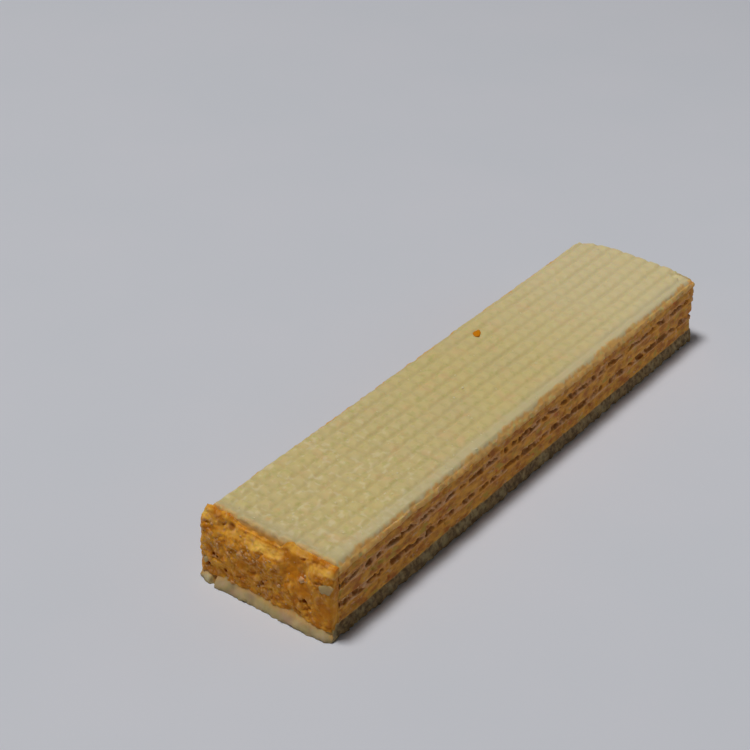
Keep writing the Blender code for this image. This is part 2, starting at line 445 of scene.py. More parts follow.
# %% Build the top sheet
BROKEN_TOP = [(1, -1, 0.5, 3.4), (1, 1, 2.2, 5.2)]
CHIP_ALONG, CHIP_ACROSS, CHIP_DEPTH = 1.7, 3.2, 0.55
SAWN_EDGE = (0.8, 1.6)  # the saw wore the long edges round: so far inward and downward
END_EDGE = (0.4, 0.45)
COVER = 0.08  # a layer reaches this far into the thin gap to its neighbour
DROOP = 0.16  # how far the long edges sag
GRAINY = (-24, -4)  # the face is grainier up to the first place along, smoother from the second
CLEAN_FROM, CLEAN_TO = -1.8, 4.6  # between them across, hardly any cream lies on the near edge
SMUDGES = [(-36.2, 1.9), (-34.4, 2.1)]  # two small spots of cream: place along, place across


def smeared_edge(run, along):
    """How far a sawn edge is drawn in where the saw dragged cream over it."""
    leaning = 0.2 * ease(run[:, Z], TOP - 1.2, TOP)
    crumbs = 0.12 * bumps(run, 0.5, 52) * ease(TOP - run[:, Z], 0.05, 0.4)
    drawn = 0.06 + leaning + saw_path(run) + 0.05 * rough(run, 1.0, 51) + crumbs
    return np.maximum(drawn, 0.0) if along == Y else drawn


def top_chip(x, y, spot):
    """1 in the ragged chip at the far right corner, 0 elsewhere."""
    reach = 1 + 0.3 * bumps(spot, 1.1, 54) + 0.2 * bumps(spot, 0.5, 98)
    chipped = ease(x, FAR - CHIP_ALONG * reach - 0.25, FAR - CHIP_ALONG * reach)
    return chipped * fades(y, -SIDE + CHIP_ACROSS * reach, -SIDE + CHIP_ACROSS * reach + 0.3)


def top_marks(points, flat, high, chip, upper):
    """Where the top sheet is stained or soaked with cream, pale or mealy, and where light or shade is
    painted.
    """
    x, y, height = points.T
    spot = points * [1, 1, 0]
    to_near = x - NEAR
    to_side = np.minimum(y + SIDE, SIDE - y)
    tongues = (0.14 + 0.16 * ease(x, -5, 10)) * bumps(spot, 2.6, 57) + 0.12 * bumps(spot, 1.1, 59)
    edge = 0.55 + tongues + 0.26 * rough(spot, 0.5, 60)
    on_face = 0.9 * fades(to_side, edge - 0.15, edge + 0.18)
    on_wall = fades(height, TOP - 1.0, TOP - 0.45) * ease(to_near, 0.2, 0.6)
    far_bare = ease(x, FAR - 3.2, FAR - 2.4) * ease(y, -SIDE + 0.3, -SIDE + 0.6)
    on_sides = np.maximum(on_face, on_wall) * (1 - far_bare)
    on_near_wall = 0.9 * fades(height, TOP - 0.85, TOP - 0.1) * fades(to_near, 0.1, 0.5)
    to_smudge = np.minimum.reduce([np.hypot(x - along, y - across) for along, across in SMUDGES])
    covered = 1 - ease(y, CLEAN_FROM - 0.4, CLEAN_FROM) * fades(y, CLEAN_TO, CLEAN_TO + 0.5)
    reach = 0.9 + 0.3 * bumps(spot, 1.5, 58)
    near_edge = (0.75 + 0.2 * covered) * fades(to_near, 0.2 * covered - 0.2, reach)
    in_chip = 0.8 * chip * fades(y, -SIDE + 0.6, -SIDE + 1.5)
    plain_rim = fades(y + SIDE + 0.5 * rough(spot, 1.8, 50), SMOOTH_RIM - 0.8, SMOOTH_RIM + 0.4)
    flour = fades(x, *GRAINY) * 0.6 * ease(bumps(spot, 0.45, 53), 0.3, 0.7)
    # how deep the grooves are, for the painted shade in them
    grooves = np.clip(-waffle_squares(x, y) / GROOVE_ALONG, 0, 1)
    far_wall = fades(high[X] - flat[:, X], 0.0, 0.2) * fades(height, TOP - 0.6, TOP - 0.25)
    far_crumb = far_wall * (0.25 + 0.5 * ease(bumps(flat, 0.5, 94), -0.1, 0.5))
    smudge = 0.4 * fades(to_smudge, 0.1, 0.5)
    return {
        "smear": np.maximum.reduce([on_sides, on_near_wall, near_edge, in_chip, smudge]),
        "soaked": 0.75 * fades(height, TOP - 0.75, TOP - 0.15) * fades(to_near, 0.1, 0.6),
        "pale": np.maximum(0.45 * plain_rim, 0.35 * fades(to_near, 0.8, 2.6)),
        # floury spots and the chip, and a painted gradient of light: paler towards the far end
        "mealy": np.maximum.reduce([0.6 * ease(x, 0.0, 34.0), 0.75 * chip, flour]),
        # painted shade in the grooves and along the near end, and darker mottling on the top of the far end's
        # wall
        "painted_shade": np.maximum(grooves * 0.12 * upper + 0.08 * fades(to_near, 1.0, 2.2), far_crumb),
    }


def top_sheet():
    low, high = box_mm("wafer_top")
    low[Z] -= COVER
    high[Z] += DOME
    piece, unit = unit_net("wafer_top_sheet", net_cells(low, high, NET, 0.1), hidden=[(0, 0, -1)])
    flat = low + unit * (high - low)
    arcs = zip(ENDS_AND_SIDES, (END_EDGE, END_EDGE, SAWN_EDGE, SAWN_EDGE))
    points = round_top(flat, low, high, arcs)
    points = break_corners(points, low, high, BROKEN_TOP)
    points = draw_in(points, low, high, smeared_edge)
    upper = ease(flat[:, Z], high[Z] - 0.6, high[Z])
    x, y = points[:, X], points[:, Y]
    spot = points * [1, 1, 0]
    chip = top_chip(x, y, spot)
    relief = waffle_squares(x, y) * (1 - chip) - CHIP_DEPTH * chip
    relief += 0.05 * bumps(spot, 9.0, 55) + (0.03 + 0.03 * fades(x, *GRAINY)) * rough(spot, 0.6, 56)
    uneven = 0.5 + 0.3 * bumps(spot, 2.4, 49) + 0.35 * bumps(spot, 0.7, 48)
    drooping = DROOP * fades(np.minimum(y + SIDE, SIDE - y), 0.5, 2.0) * uneven
    points[:, Z] += upper * (relief - DOME) - drooping * unit[:, Z]
    marks = top_marks(points, flat, high, chip, upper)
    return settle(piece, points, marks, wafer, "wafer_top")


top_piece = top_sheet()

# %% [markdown]
# ## The bottom sheet
#
# The lower plate of the iron presses the other pattern: thin ribs that cross at forty-five degrees
# round sunken diamonds. The biscuit stands on those ribs. Its sawn sides are painted dark olive, a
# painted shade. At the near end this sheet reaches out like a doorstep: it is worn to a slope down
# to a thin rim, with painted shade under the rim, is stained with cream near the foot of the smear,
# and is broken at its left corner.

# %% Diamonds and the bottom sheet
RIB_HALF = 0.24
DIAMOND_DEPTH = 0.55
STEP_SLOPE = 1.05  # how far in the worn slope of the doorstep reaches
STEP_RIM = 0.3  # thickness that is left at its rim
FLARE = 0.26  # how far the lower rim lies outside the upper one
GAP_AT, GAP_HALF, GAP_DEEP = 7.1, 0.28, 0.55  # a crack in the doorstep: where, half width, depth
BROKEN_BOTTOM = [(-1, 1, 0.6, 1.4), (1, 1, 0.7, 1.1), (-1, -1, 0.35, 0.9)]


def diamond_pockets(x, y):
    """How far the underside rises into each diamond, in millimetres."""
    spot = np.stack([x, y, np.zeros_like(x)], axis=1)
    wander = 0.05 * bumps(spot, 2.5, 61)
    first = from_groove((x + y) / math.sqrt(2) + wander, 0.0)
    second = from_groove((x - y) / math.sqrt(2) - wander, 0.0)
    inside = np.minimum(first, second)
    return DIAMOND_DEPTH * (1 + 0.2 * bumps(spot, 3.0, 62)) * ease(inside, RIB_HALF, RIB_HALF + 0.4)


def plain_edge(run, along):
    """How far a dry, brittle edge has crumbled back; its lower rim spreads out a little."""
    overhung = 0.12 * ease(run[:, Z], 1.1, 1.8)
    if along == Y:
        overhung += 0.14 * rough(run, 0.7, 73)
    crumbled = overhung + saw_path(run) + 0.08 * rough(run, 0.8, 64)
    crumbled = crumbled + 0.11 * bumps(run, 0.35, 69) + 0.12 * ease(bumps(run, 1.1, 63), 0.35, 0.9)
    flare = FLARE * fades(run[:, Z], 0.2, 1.8) if along == X else 0.0
    return crumbled - flare


def bottom_sheet():
    low, high = box_mm("wafer_bottom")
    high[Z] += COVER
    piece, unit = unit_net("wafer_bottom_sheet", net_cells(low, high, 0.2, 0.12))
    unit[:, X] -= 0.06 * np.sin(2 * math.pi * unit[:, X])  # closer points near both ends
    flat = low + unit * (high - low)
    points = flat.copy()
    to_rim = flat[:, X] - low[X]
    slope = STEP_SLOPE * (1 + 0.2 * bumps(flat * [0, 1, 0], 2.2, 65))
    worn_top = STEP_RIM + (high[Z] - STEP_RIM) * np.clip(to_rim / slope, 0, 1) ** 0.85
    points[:, Z] = flat[:, Z] * worn_top / high[Z]
    points = break_corners(points, low, high, BROKEN_BOTTOM, fade=3.5)
    points = draw_in(points, low, high, plain_edge)

    x, y = points[:, X], points[:, Y]
    spot = points * [1, 1, 0]
    lower = fades(flat[:, Z], 0.0, 1.0)
    upper = ease(flat[:, Z], 0.8, high[Z])
    inside = np.minimum.reduce([SIDE - np.abs(y), FAR - x, 1.5 * to_rim])
    pressed = diamond_pockets(x, y) * (0.35 + 0.65 * ease(inside, 0.2, 1.0))
    points[:, Z] += lower * pressed * worn_top / high[Z]
    on_step = fades(x, NEAR - 0.6, NEAR + 0.2)
    points[:, Z] += upper * on_step * (0.11 * rough(spot, 1.2, 67) + 0.06 * bumps(spot, 0.35, 68))
    gap = on_step * np.exp(-((y - GAP_AT) / GAP_HALF) ** 2) * fades(to_rim, 0.3, 1.4)
    points[:, X] += GAP_DEEP * gap
    points[:, Z] = np.maximum(points[:, Z] - 0.35 * gap * upper, 0)

    torn_flake = on_step * ease(y, GAP_AT + 0.2, GAP_AT + 0.5)
    to_foot = (NEAR - 1.0) - x
    stain = fades(to_foot, -0.1, 0.3 + 0.3 * bumps(spot, 1.7, 66)) * upper * on_step
    on_side = fades(np.minimum(SIDE - np.abs(y), high[X] - flat[:, X]), 0.15, 0.4)
    streak = ease(rough(points * [1, 1, 0.6], 0.6, 70), 0.0, 0.45)
    dusty = (1 - 0.7 * torn_flake) * on_step * (1 - on_side) * ease(flat[:, Z], 0.2, 0.8)
    # painted shade on the sawn sides, lighter along pale streaks
    shaded_side = on_side * (1 - 0.35 * streak) * (1 - 0.3 * on_step)
    # painted shade under the doorstep's thin rim, next to the floor
    shade_under_rim = 0.8 * fades(points[:, Z], 0.1, 0.3) * on_step
    marks = {
        "smear": np.maximum(0.7 * stain, on_side * (1 - on_step) * ease(points[:, Z], 1.5, 1.9) * 0.8),
        "worn": dusty * (0.85 + 0.3 * bumps(spot, 0.9, 72)),
        "pale": np.maximum(0.3 * streak * on_side, 0.7 * torn_flake * upper),
        # painted shade: in the diamonds underneath, on the sides, under the rim and in the crack
        "painted_shade": np.maximum.reduce([lower * 0.35 * ease(pressed, 0.1, 0.5), shaded_side, shade_under_rim, gap]),
    }
    settle(piece, points, marks, wafer, "wafer_bottom")


bottom_sheet()

# %% [markdown]
# ## Sawn wafer foam
#
# Sawn through, a wafer shows what it is inside: air. About once in every waffle square the blade
# opens a long dark pocket under a paper-thin pale skin, and the crumbs left round it are pinkish
# brown with cream rubbed in. The pockets are real hollows in the net. One mark tells the material
# where the pale skins are, and another where shade is painted into the pockets.

# %% Material of the sawn edge
def sawn_wafer():
    """Starch foam, sawn: porous brown and matte, with pale skins, cream rubbed in, and painted shade in
    pockets.
    """
    material, tree, shader, where, (skin, smear, painted_shade) = new_material(
        "starch_foam_sawn_open", 0.8, 1.4, 0.2, 0.4, marks=("skin", "smear", "painted_shade"))
    tint = paint("#e0a672")
    for mask, hex_colour in (
            (spots(tree, where, 0.45, 0.4, 0.62, 3.0), "#d8964f"),
            (skin, "#e6ba8e"),
            (smear, "#e8a040"),
            # painted shade inside the pockets
            (painted_shade, "#9c6630")):
        tint = add(tree, "ShaderNodeMix", {"Factor": mask, MIX_A: tint, MIX_B: paint(hex_colour)},
                   data_type="RGBA").outputs[MIX_OUT]
    surface(tree, shader, tint, where, 0.18, 0.5, 0.05)
    return material


foam = sawn_wafer()

# %% Pockets in the inner sheets
POCKET_STEP = 1.15 * PITCH  # from one pocket to the next
POCKET_LONG, POCKET_DEEP = 1.1, 0.34  # half length and depth
SHINGLE = 0.14  # a layer's lower edge stands this far out over the layer below it
BROKEN_LOWER = [(1, -1, 0.5, 0.9), (1, 1, 1.1, 1.9)]
BROKEN_UPPER = [(1, 1, 1.5, 2.8), (1, -1, 0.3, 0.6)]


def pockets(run, along, middle, tall, seed):
    """How open the foam is at each place of a wall: 1 inside a pocket, 0 on solid crumb."""
    place = run[:, along] / POCKET_STEP + seed * 0.37
    openness = np.zeros(len(run))
    ragged = 0.6 * bumps(run, 0.6, seed + 7) + 0.65 * bumps(run, 0.26, seed + 8)
    for shift in (-1, 0, 1):
        cell = np.floor(place) + shift
        key = np.stack([cell, np.full_like(cell, along), np.sign(run[:, 1 - along])], axis=1)
        luck = [hashed(key, seed + k) for k in range(5)]
        off_along = (place - (cell + 0.5 + 0.5 * (luck[0] - 0.5))) * POCKET_STEP
        slant = 0.5 * (luck[4] - 0.5)
        off_up = run[:, Z] - middle - 0.5 * tall * (luck[1] - 0.5) - slant * off_along
        long = POCKET_LONG * (0.45 + 0.9 * luck[2])
        high = tall * (0.45 + 0.65 * luck[3])
        shape = np.sqrt((off_along / long) ** 2 + (off_up / high) ** 2) + ragged
        openness = np.maximum(openness, fades(shape, 0.35, 1.35))
    return openness


def inner_sheet(node, name, middle, tall, seed, broken):
    low, high = box_mm(node)
    low[Z] -= COVER
    high[Z] += COVER
    half = (high[Z] - low[Z]) / 2
    piece, unit = unit_net(name, net_cells(low, high, 0.1, 0.09), hidden=[(0, 0, -1), (0, 0, 1)])
    flat = low + unit * (high - low)
    points = break_corners(flat, low, high, broken)
    rim = ease(np.abs(flat[:, Z] - (low[Z] + high[Z]) / 2), half - 0.16, half)

    def opened(run, along):
        pore = ease(bumps(run, 0.35, seed + 20), 0.25, 0.8)
        deep = POCKET_DEEP * pockets(run, along, middle, tall, seed)
        overhung = SHINGLE * ease(run[:, Z], middle, high[Z])
        return overhung + (deep + 0.14 * pore) * (1 - rim) + saw_path(run) + 0.06 * rough(run, 0.8, seed + 21)

    points = draw_in(points, low, high, opened)
    open_share = np.zeros(len(points))
    for axis, direction in ENDS_AND_SIDES:
        run = flat.copy()
        run[:, axis] = 50.0 * direction
        on_wall = from_wall(flat, low, high, axis, direction) < 0.01
        open_share = np.maximum(open_share, on_wall * pockets(run, 1 - axis, middle, tall, seed))
    thin = np.abs(np.abs(flat[:, Z] - middle) - tall)
    skin = fades(thin, 0.04, 0.16) * ease(bumps(flat, 1.1, seed + 22), 0.0, 0.5)
    speck = ease(bumps(flat, 0.5, seed + 24), 0.35, 0.75)
    on_rim = 0.6 * rim * ease(rough(flat, 1.2, seed + 25), 0.0, 0.35)
    streak = ease(rough(flat * [1, 1, 2], 2.2, seed + 23), -0.05, 0.35)
    marks = {
        # painted shade inside the pockets, not on the skins at the rims
        "painted_shade": open_share * (1 - rim),
        "skin": np.maximum(np.maximum(0.8 * skin, 0.6 * speck) * (1 - open_share), on_rim),
        "smear": np.maximum(streak * 0.85, 0.35 * rim),
    }
    settle(piece, points, marks, foam, node)


inner_sheet("wafer_lower", "wafer_lower_sheet", 4.02, 0.42, 3, BROKEN_LOWER)
inner_sheet("wafer_upper", "wafer_upper_sheet", 6.7, 0.3, 4, BROKEN_UPPER)

# %% [markdown]
# ## Cheese cream
#
# Cheese cream is fat and sugar coloured with cheese powder. Spread cold, it is satin and dense. The
# saw smears it: orange and brown streaks, olive where wafer dust got in, and a few pits. The lower
# edge of each layer stands out a little over the layer below, and the cream reaches over the thin
# gaps between the solids, so that they don't show.

# %% Material and layers of cream
def spread_cream():
    """Cheese cream, spread and sawn: satin orange with browner drags and pale crumbs rubbed in."""
    material, tree, shader, place, _ = new_material("cheese_cream_spread_and_sawn", 0.55, 1.46, 0.3, 0.6)
    # The saw draws every spot out to twice its length along the finger.
    where = add(tree, "ShaderNodeMapping", {"Vector": place, "Scale": (0.5, 1.0, 1.0)}).outputs["Vector"]
    tint = paint("#eeaa3e")
    for mask, hex_colour in (
            (spots(tree, where, 0.8, 0.37, 0.63, 4.0), "#b96d28"),
            (spots(tree, where, 0.6, 0.6, 0.69, 3.0), "#cf6c34"),
            (spots(tree, where, 0.95, 0.55, 0.68, 3.0), "#c9a03c"),  # olive
            (spots(tree, where, 0.5, 0.6, 0.7, 3.0), "#e0ab76")):  # pale crumbs
        tint = add(tree, "ShaderNodeMix", {"Factor": mask, MIX_A: tint, MIX_B: paint(hex_colour)},
                   data_type="RGBA").outputs[MIX_OUT]
    surface(tree, shader, tint, where, 0.22, 0.3, 0.04)
    return material


cream = spread_cream()
SEAM_COVER = 0.2  # the cream reaches over the thin gap to the wafer above and below


def cream_layer(node, name, seed, broken):
    low, high = box_mm(node)
    low[Z] -= SEAM_COVER
    high[Z] += SEAM_COVER
    piece, unit = unit_net(name, net_cells(low, high, 0.13, 0.1), hidden=[(0, 0, -1), (0, 0, 1)])
    flat = low + unit * (high - low)
    points = break_corners(flat, low, high, broken)

    def sawn(run, along):
        overhung = SHINGLE * ease(run[:, Z], low[Z], high[Z])
        stretched = run * np.where(np.arange(3) == along, 0.6, 1.0)
        pit = ease(bumps(run, 0.6, seed + 31), 0.45, 0.85)
        return overhung + saw_path(run) + 0.1 * rough(stretched, 0.9, seed + 32, 4) + 0.18 * pit

    settle(piece, draw_in(points, low, high, sawn), {}, cream, node)


cream_layer("cream_lower", "cream_lower_layer", 5, BROKEN_LOWER)
cream_layer("cream_middle", "cream_middle_layer", 6, BROKEN_LOWER)
cream_layer("cream_upper", "cream_upper_layer", 7, BROKEN_UPPER)

# %% [markdown]
# ## Torn cream over the near end
#
# The near end was broken, not sawn: crumbly cream stands out about a millimetre past the sheets, with
# lit ledges near the top, deep pits, and wafer crumbs stuck in it. Seen from the side it has a
# profile: down the end of the top sheet, out along a ledge, down the rough face, and in at the foot.
# So the net is laid along that profile, column by column, and then pushed in and out along its own
# normals. A plain height map could not make the ledges, because they overhang.

# %% Profile of the torn end
# Places across the end, and there: the height of the ledge, how far it stands out, and how far its
# outer edge lies below its root
LEDGE_AT = [-9.1, -8.2, -6.6, -5.5, -4.7, -3.7, -2.8, -1.9, -0.5, 1.8, 4.3, 5.7, 7.3, 8.3, 9.1]
LEDGE_HEIGHT = [8.95, 9.05, 8.95, 8.65, 8.55, 8.6, 8.6, 8.45, 8.4, 8.4, 8.55, 8.7, 8.8, 9.1, 9.1]
LEDGE_OUT = [0.8, 0.95, 0.95, 0.75, 0.6, 0.55, 0.65, 0.95, 1.1, 1.1, 0.95, 0.75, 0.8, 0.85, 0.8]
LEDGE_FALL = [0.85, 0.9, 1.0, 1.2, 1.6, 1.7, 1.5, 1.15, 1.1, 1.15, 1.1, 1.2, 1.2, 1.0, 1.0]
# How high on the end of the top sheet the cream starts
START_AT = [-9.1, -3.4, -2.4, -1.4, 1.1, 3.9, 5.2, 6.6, 9.1]
START_HEIGHT = [9.25, 9.35, 9.3, 8.72, 8.65, 8.7, 9.15, 9.3, 9.25]
# How far it lies back over the top
LIP_AT = [-9.1, -4.2, -3.4, -2.7, -2.1, -1.5, 4.8, 5.8, 6.6, 7.2, 7.9, 8.5, 9.1]
LIP_BACK = [0.1, 0.1, 0.3, 0.5, 0.35, 0.0, 0.0, 0.3, 0.2, 0.0, 0.3, 0.25, 0.1]
# How far it stands out above the ledge: there is one lump
SHOULDER_AT = [-6.0, -4.4, -3.3, -1.8]
SHOULDER_OUT = [0.18, 0.5, 0.5, 0.18]
FOOT_OUT, FOOT_HEIGHT = 1.0, 1.35
SOFTENING = (1, 2, 3, 2, 1)  # weights of neighbouring points: they round a profile's corners


def end_profiles(across, rows):
    """For each place across the end, rows points along its profile: how far out, and how high."""
    columns = []
    line = np.stack([across, np.zeros_like(across), np.zeros_like(across)], axis=1)
    uneven = zip(across, rough(line, 1.6, 95), rough(line, 1.3, 96), rough(line, 0.9, 97))
    for y, higher, further, steeper in uneven:
        ledge = np.interp(y, LEDGE_AT, LEDGE_HEIGHT) + 0.12 * higher
        out = np.interp(y, LEDGE_AT, LEDGE_OUT) + 0.16 * further
        fall = np.interp(y, LEDGE_AT, LEDGE_FALL) + 0.4 * steeper
        back = np.interp(y, LIP_AT, LIP_BACK)
        start = np.interp(y, START_AT, START_HEIGHT) + 0.12 * steeper
        lift = min(back / 0.3, 1)
        shoulder = np.interp(y, SHOULDER_AT, SHOULDER_OUT)
        corners = np.array([
            (-0.17 - back, start + 0.03 - 0.08 * lift),
            (-0.02 - 0.5 * back, start - 0.05 + 0.32 * lift),
            (0.08, start - 0.2 + 0.15 * lift),
            (shoulder, (start + ledge) / 2),
            (shoulder + 0.06, ledge),
            (out, ledge - fall),
            (out + 0.2, ledge - fall - 1.1),
            (1.05, 4.6),
            (FOOT_OUT, FOOT_HEIGHT + 0.4),
            (FOOT_OUT, FOOT_HEIGHT - 0.1),
            (FOOT_OUT - 0.4, FOOT_HEIGHT - 0.4),
            (0.2, FOOT_HEIGHT - 0.4),
        ])
        length = np.concatenate([[0], np.cumsum(np.linalg.norm(np.diff(corners, axis=0), axis=1))])
        steps = np.linspace(0, length[-1], rows)
        columns.append(np.stack([np.interp(steps, length, corners[:, k]) for k in (0, 1)], axis=1))
    padded = np.pad(np.array(columns), ((0, 0), (2, 2), (0, 0)), "edge")
    return sum(weight * padded[:, k:k + rows] for k, weight in enumerate(SOFTENING)) / sum(SOFTENING)


# %% Material of the torn cream
def torn_cream():
    """Cheese cream, torn: rough orange with fatty spots and crumbs, painted highlights and painted shade."""
    material, tree, shader, where, (painted_highlight, fatty, mealy, crumb, painted_shade) = new_material(
        "cheese_cream_torn", 0.52, 1.46, 0.22, 0.6, marks=("painted_highlight", "fatty", "mealy", "crumb", "painted_shade"))
    dusted = add(tree, "ShaderNodeMath", {
        0: mealy, 1: spots(tree, where, 0.45, 0.54, 0.66, 3.0)}, operation="MULTIPLY").outputs["Value"]
    tint = paint("#f4ac36")
    for mask, hex_colour in (
            (spots(tree, where, 1.3, 0.4, 0.6, 5.0), "#cf7f1c"),
            # painted highlight on the ledges that face up to the lamp
            (painted_highlight, "#fdca5c"),
            (fatty, "#dd860a"),
            (dusted, "#edb880"),
            (crumb, "#e6ae70"),
            # painted shade in holes, pits and the crack
            (painted_shade, "#a4560c")):
        tint = add(tree, "ShaderNodeMix", {"Factor": mask, MIX_A: tint, MIX_B: paint(hex_colour)},
                   data_type="RGBA").outputs[MIX_OUT]
    surface(tree, shader, tint, where, 0.2, 0.35, 0.05)
    return material


torn = torn_cream()

# %% Build the torn end
END_ROWS = 125  # cells of the net from the lip down to the foot
# Pits: place across, height, radius and depth. Fatty and crumbly zones: place across, height, radius
PITS = [(5.15, 8.35, 0.7, 0.14), (-5.3, 3.7, 0.35, 0.6), (7.2, 4.0, 0.3, 0.4), (6.7, 3.95, 0.25, 0.35),
        (7.9, 2.5, 0.28, 0.35), (5.6, 2.5, 0.35, 0.3), (0.4, 3.35, 0.4, 0.25), (-6.5, 8.8, 0.35, 0.1)]
CRACK = [(-5.4, 3.6), (-6.1, 3.0)]
FATTY = [(-8.2, 3.8, 1.3), (-7.4, 2.6, 0.9), (-3.6, 8.0, 1.5), (-3.6, 6.6, 1.4), (-5.4, 5.2, 1.6),
         (3.2, 4.6, 1.0)]
CRUMBLY = [(8.3, 7.0, 2.6), (8.0, 3.5, 2.6), (5.0, 5.6, 2.2), (2.4, 6.4, 2.0), (0.2, 2.6, 1.6),
           (3.5, 2.4, 1.6), (0.0, 6.0, 1.5), (5.5, 8.5, 1.5)]


def near_spots(y, z, places):
    """How close each point is to any of the round spots: 1 at a middle, 0 from the rim outwards."""
    closeness = np.zeros(len(y))
    for place_y, place_z, radius in places:
        distance = np.hypot(y - place_y, z - place_z) / radius
        closeness = np.maximum(closeness, fades(distance, 0.3, 1.0))
    return closeness


def near_line(y, z, line):
    """Distance from each point to a line of straight stretches."""
    distance = np.full(len(y), 99.0)
    for (y0, z0), (y1, z1) in zip(line, line[1:]):
        run = np.array([y1 - y0, z1 - z0])
        share = np.clip(((y - y0) * run[0] + (z - z0) * run[1]) / (run @ run), 0, 1)
        distance = np.minimum(distance, np.hypot(y - y0 - share * run[0], z - z0 - share * run[1]))
    return distance


def end_net():
    """The net along the profiles. For each point: its place on the face, how far out that is, the
    profile's direction, its share of the way down, and 1 on the face, 0 at the back."""
    low, high = box_mm("cream_end")
    columns = round((high[Y] - low[Y]) / 0.08)
    piece, unit = unit_net("cream_torn_end", [3, columns, END_ROWS], hidden=[(1, 0, 0)])
    across = np.linspace(low[Y] - 0.08, high[Y] + 0.25, columns + 1)
    profile = end_profiles(across, END_ROWS + 1)
    tangent = np.gradient(profile, axis=1)
    tangent /= np.linalg.norm(tangent, axis=2, keepdims=True)
    column = np.round(unit[:, Y] * columns).astype(int)
    row = np.round((1 - unit[:, Z]) * END_ROWS).astype(int)
    out, height = profile[column, row].T
    face = np.stack([NEAR - out, across[column], height], axis=1)
    return piece, face, out, tangent[column, row], row / END_ROWS, 1 - unit[:, X]


def torn_end():
    piece, face, out, lean, level, front = end_net()
    y, height = face[:, Y].copy(), face[:, Z].copy()
    behind = np.clip(height, FOOT_HEIGHT - 0.35, TOP - 0.35)
    back = np.stack([np.full(len(y), NEAR + 0.35), y, behind], axis=1)

    warped = face + 0.4 * np.stack([bumps(face, 1.2, 71 + k) for k in range(3)], axis=1)
    distance, owner = grains(warped, 0.6, 77)
    fatty = near_spots(y, height, FATTY)
    mealy = near_spots(y, height, CRUMBLY)
    crumbly = 0.7 + 0.25 * mealy
    lump = 0.34 * rough(warped, 1.9, 79, 4)
    fine = 0.2 * (0.55 - distance) + 0.1 * (owner - 0.5) + 0.16 * rough(face, 0.6, 82)
    push = lump * (1 - 0.5 * fatty) + fine * crumbly * (1 - 0.6 * fatty)
    hole = ease(rough(warped, 0.7, 83), 0.3, 0.55) * crumbly
    pit = np.zeros(len(y))
    for *spot, depth in PITS:
        pit = np.maximum(pit, depth * near_spots(y, height, [spot]))
    crack = fades(near_line(y, height, CRACK), 0.05, 0.2)
    push -= 0.16 * hole * (1 - fatty) + pit + 0.12 * crack
    at_side = fades(SIDE + 0.15 - np.abs(y), 0.0, 0.5)
    push = push * ease(level, 0.0, 0.1) * fades(level, 0.93, 1.0) - 0.2 * at_side
    face[:, X] += push * lean[:, 1]
    face[:, Z] += push * lean[:, 0]
    least = 0.1 * ease(out, 0.0, 0.15)  # it stays clear of the top sheet's end, without a sharp bend
    outward = NEAR - face[:, X]
    clear = (outward + least + np.hypot(outward - least, 1.2 * least)) / 2
    face[:, X] = NEAR - np.where(out > 0, clear, outward)

    crumb = ease(owner, 0.8, 0.9) * ease(0.6 - distance, 0.0, 0.3) * crumbly
    on_lump = ease(y, -5.4, -4.2) * fades(y, -2.6, -1.9)
    below_lip = np.maximum(ease(level, 0.06, 0.13), on_lump)
    faces_up = ease(lean[:, 0], 0.2, 0.75) * fades(level, 0.32, 0.42) * below_lip
    marks = {
        # painted highlight where the face turns up towards the lamp, below the lip
        "painted_highlight": faces_up * (0.75 + 0.5 * bumps(face, 0.8, 85)) * (1 - 0.6 * on_lump),
        "crumb": 0.6 * crumb * (1 - fatty),
        "mealy": (0.35 + 0.65 * mealy) * (1 - 0.8 * fatty),
        "fatty": 0.8 * fatty,
        # painted shade in the holes, the pits and the crack
        "painted_shade": 0.3 * hole * (1 - fatty) + ease(pit, 0.02, 0.2) + 0.35 * crack,
    }
    return settle(piece, back + (face - back) * front[:, None], marks, torn, "cream_end")


end_piece = torn_end()

# %% [markdown]
# ## Crumbs and flakes
#
# Sawing and breaking leave wafer crumbs on the cream and on the top, where one speck of cream lies
# too. Each kind is one mesh of small lumps: a ball is dented by the same bumps as before, flattened,
# turned and pressed about half into the surface. Two stained flakes stick to the torn end.

# %% Lumps pressed into a surface
END_FACE, TOP_FACE = (-1, 0, 0), (0, 0, 1)


def points_of(piece):
    """The places of a piece's points, in millimetres."""
    flat = np.empty(3 * len(piece.data.vertices))
    piece.data.vertices.foreach_get("co", flat)
    return flat.reshape(-1, 3) / MM


end_points = points_of(end_piece)
end_points = end_points[end_points[:, X] < NEAR + 0.1]
top_points = points_of(top_piece)
top_points = top_points[top_points[:, Z] > TOP - 0.6]


def on_end(y, z):
    """The point of the torn end that the viewer sees at that place across and that height."""
    return end_points[np.argmin(np.hypot(end_points[:, Y] - y, end_points[:, Z] - z))]


def on_top(x, y):
    """The point of the top face at that place."""
    return top_points[np.argmin(np.hypot(top_points[:, X] - x, top_points[:, Y] - y))]


